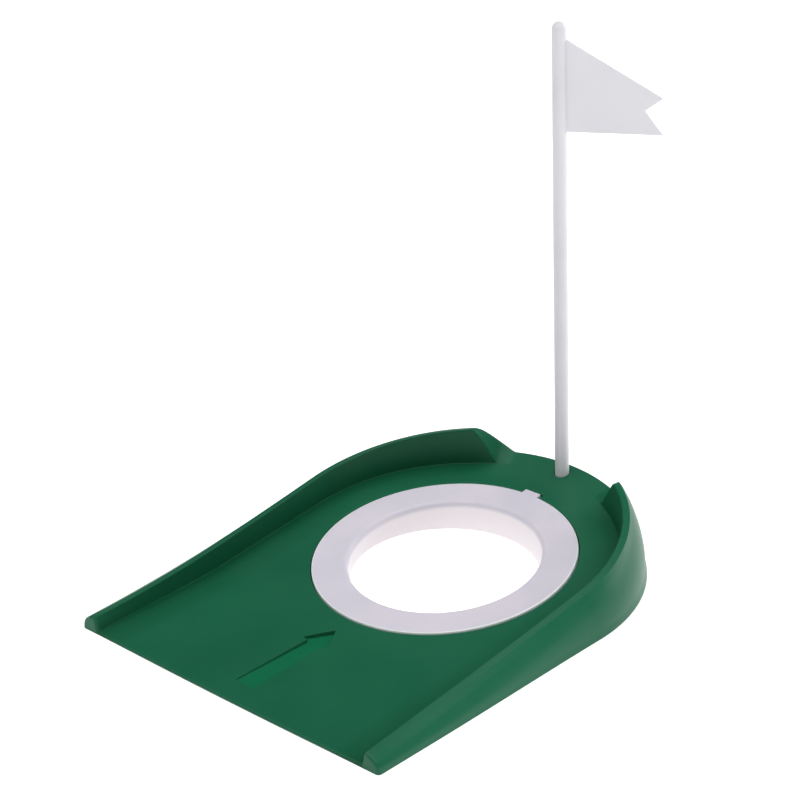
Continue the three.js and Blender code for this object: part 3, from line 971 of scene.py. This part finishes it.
def white_plastic(name, low, high, collar_painted_light=None, edge_painted_highlight=None):
    """Milky moulded plastic with a trace of mottling; on the ring, the thin collar is painted
    lighter and the flange's outer edge gets a painted highlight.
    """
    n = Nodes(name)
    colour = n.ramp(n.noise(38, 3), low, high)
    if collar_painted_light:
        # Painted light on the ring: a lighter collar and a painted highlight along the flange's
        # outer edge
        collar, edge = n.ring_painted_light()
        colour = n.mix(edge, n.mix(collar, colour, collar_painted_light), edge_painted_highlight)
    n.link(colour, n.shader.inputs["Base Color"])
    n.link(n.fit(n.noise(90, 3), 0.3, 0.7, 0.38, 0.48), n.shader.inputs["Roughness"])
    n.link(n.bump(n.noise(1800, 2), 0.00004, 0.25), n.shader.inputs["Normal"])
    n.shader.inputs["Subsurface Weight"].default_value = 0.15
    n.shader.inputs["Subsurface Radius"].default_value = (0.003, 0.003, 0.0032)
    n.shader.inputs["Subsurface Scale"].default_value = 1.0
    n.shader.inputs["IOR"].default_value = 1.5
    return n.material


# ---------------------------------------------------------------- the pieces in the frame

# The ring's material carries painted light on its collar and a painted highlight along its flange
# edge
ring_plastic = white_plastic("ring_plastic", *RING_WHITE, COLLAR_PAINTED_LIGHT, RING_EDGE_PAINTED_HIGHLIGHT)
stick_plastic = white_plastic("stick_plastic", *STICK_WHITE)
flag_plastic = white_plastic("flag_plastic", *FLAG_WHITE)
finished(tray(), "tray_shell", "tray", green_plastic(), "tray")
finished(hole_ring(), "ring_shell", "hole_ring", ring_plastic, "hole_ring")
finished(flagstick(), "flagstick_rod", "flagstick", stick_plastic, "flagstick")
finished(flag(), "flag_plate", "flag", flag_plastic, "flag")

# ---------------------------------------------------------------- floor and light

FLOOR_HALF = 6.0  # metres
FLOOR_GLOW = 0.54
WORLD_STRENGTH = 0.05

# Soft distant lights: azimuth, counted like the camera's, elevation, strength and spread
SUNS = {
    "overhead": (0, 82, 2.7, 84),
    "front_left": (-35, 32, 0.2, 70),
    "back_right": (166, 10, 1.9, 50),
    "right": (95, 4, 0.6, 10),
}


def add_floor():
    corners = [(x * FLOOR_HALF, y * FLOOR_HALF, 0) for x, y in ((-1, -1), (1, -1), (1, 1), (-1, 1))]
    data = bpy.data.meshes.new("floor")
    data.from_pydata(corners, [], [(0, 1, 2, 3)])
    n = Nodes("floor_paper")
    n.shader.inputs["Base Color"].default_value = (0.8, 0.8, 0.8, 1)
    n.shader.inputs["Roughness"].default_value = 0.9
    n.shader.inputs["Specular IOR Level"].default_value = 0.0
    n.shader.inputs["Emission Color"].default_value = (1, 1, 1, 1)
    n.shader.inputs["Emission Strength"].default_value = FLOOR_GLOW
    data.materials.append(n.material)
    floor = bpy.data.objects.new("floor", data)
    bpy.context.scene.collection.objects.link(floor)


def add_sun(name, azimuth, elevation, strength, spread):
    data = bpy.data.lights.new(name, "SUN")
    data.energy = strength
    data.angle = math.radians(spread)
    light = bpy.data.objects.new(name, data)
    a, e = math.radians(azimuth), math.radians(elevation)
    towards = Vector((math.sin(a) * math.cos(e), -math.cos(a) * math.cos(e), math.sin(e)))
    light.rotation_mode = "QUATERNION"
    light.rotation_quaternion = towards.to_track_quat("Z", "Y")
    bpy.context.scene.collection.objects.link(light)


def add_world():
    world = bpy.data.worlds.new("studio")
    bpy.context.scene.world = world
    world.use_nodes = True
    background = world.node_tree.nodes["Background"]
    background.inputs["Color"].default_value = (1, 1, 1, 1)
    background.inputs["Strength"].default_value = WORLD_STRENGTH


add_floor()
add_world()
for sun, settings in SUNS.items():
    add_sun(sun, *settings)
bpy.context.scene.view_settings.view_transform = "Standard"
